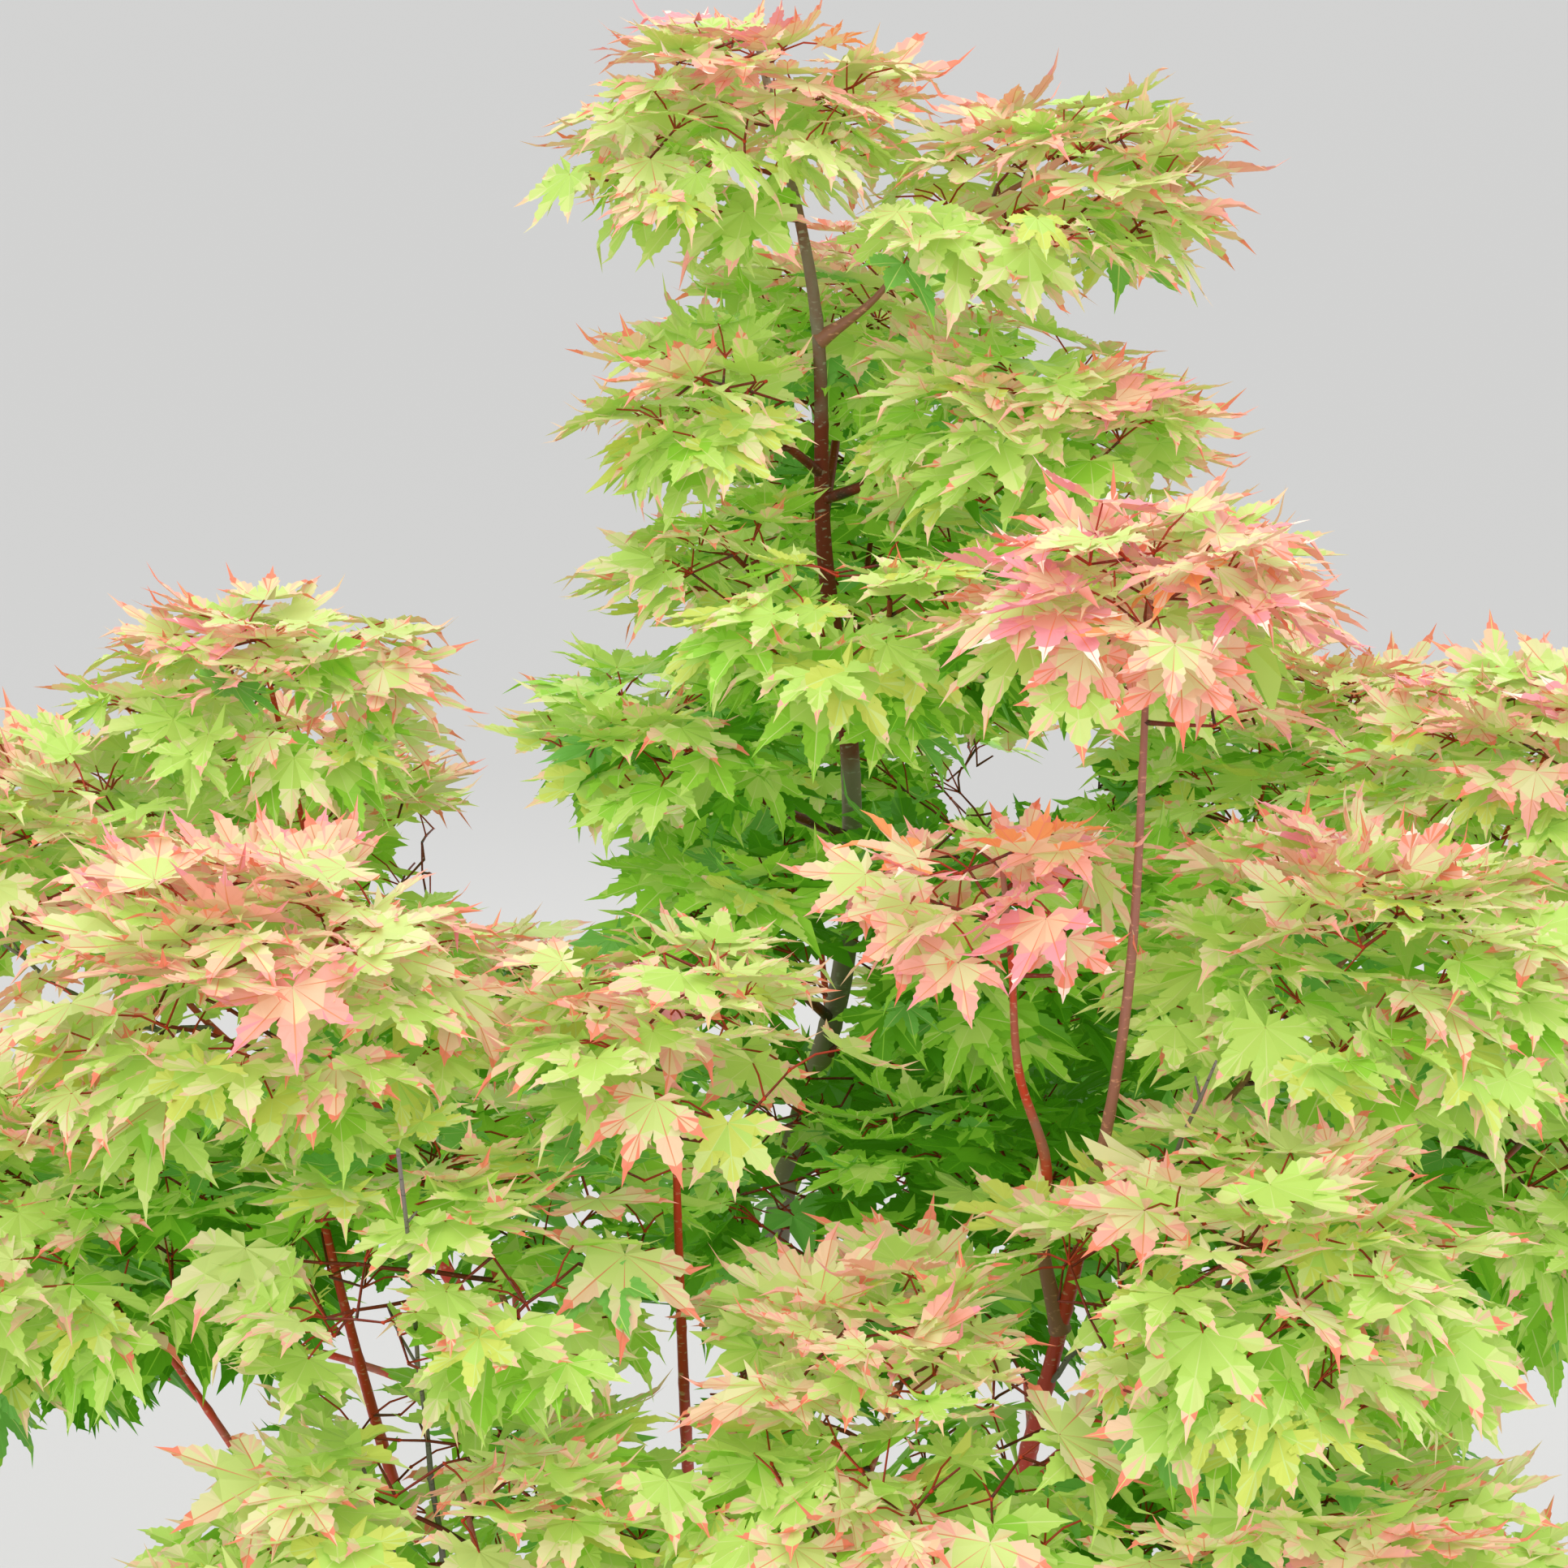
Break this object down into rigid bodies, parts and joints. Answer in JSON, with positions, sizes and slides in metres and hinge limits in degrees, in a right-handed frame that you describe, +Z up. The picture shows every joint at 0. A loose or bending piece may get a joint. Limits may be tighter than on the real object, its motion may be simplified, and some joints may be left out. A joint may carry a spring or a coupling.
{
  "type": "japanese maple tree",
  "caption": "Young coral-bark Japanese maple rooted in the ground: slender trunk, ascending red boughs and flat tiers of lobed leaves tinted lime and coral.",
  "frame": {"origin": "middle of the flat cut under the trunk, at ground level", "axes": "+Z up along the trunk, -Y towards the viewer of the picture, +X to the picture's right"},
  "size_m": [1.1279, 1.01, 1.6006],
  "materials": {
    "trunk_bark": "matt grey-brown bark",
    "young_bark": "smooth coral-red bark with pale marks",
    "leaves": "soft matt leaf, lime with coral tips"
  },
  "bodies": {
    "root": {"trunk": "trunk_bark", "bough_top_right": "young_bark", "bough_right": "young_bark", "bough_front_right": "young_bark", "bough_front": "young_bark", "bough_front_left": "young_bark", "bough_left": "young_bark", "bough_back_left": "young_bark", "bough_back": "young_bark", "bough_back_right": "young_bark", "branch_red_spray": "young_bark", "branch_right_front": "young_bark", "branch_left_edge": "young_bark", "branch_middle_right": "young_bark", "branch_middle_front": "young_bark", "branch_middle_left": "young_bark", "branch_front_left_inner": "young_bark", "branch_low_front_right": "young_bark", "branch_low_front": "young_bark", "branch_low_front_left": "young_bark", "branch_low_left": "young_bark", "branch_low_right": "young_bark", "branch_low_back_left": "young_bark", "branch_low_back_right": "young_bark", "foliage_top": "leaves", "foliage_second_left": "leaves", "foliage_second_right": "leaves", "foliage_second_back": "leaves", "foliage_third_left": "leaves", "foliage_third_front": "leaves", "foliage_third_right": "leaves", "foliage_third_back": "leaves", "foliage_arm_left": "leaves", "foliage_inner_right": "leaves", "foliage_inner_left": "leaves", "foliage_inner_low": "leaves", "foliage_top_right": "leaves", "foliage_right": "leaves", "foliage_front_right": "leaves", "foliage_front": "leaves", "foliage_front_left": "leaves", "foliage_left": "leaves", "foliage_back_left": "leaves", "foliage_back": "leaves", "foliage_back_right": "leaves", "foliage_red_spray": "leaves", "foliage_right_front": "leaves", "foliage_left_edge": "leaves", "foliage_middle_right": "leaves", "foliage_middle_front": "leaves", "foliage_middle_left": "leaves", "foliage_front_left_inner": "leaves", "foliage_low_front_right": "leaves", "foliage_low_front": "leaves", "foliage_low_front_left": "leaves", "foliage_low_left": "leaves", "foliage_low_right": "leaves", "foliage_low_back_left": "leaves", "foliage_low_back_right": "leaves"}
  },
  "joints": []
}
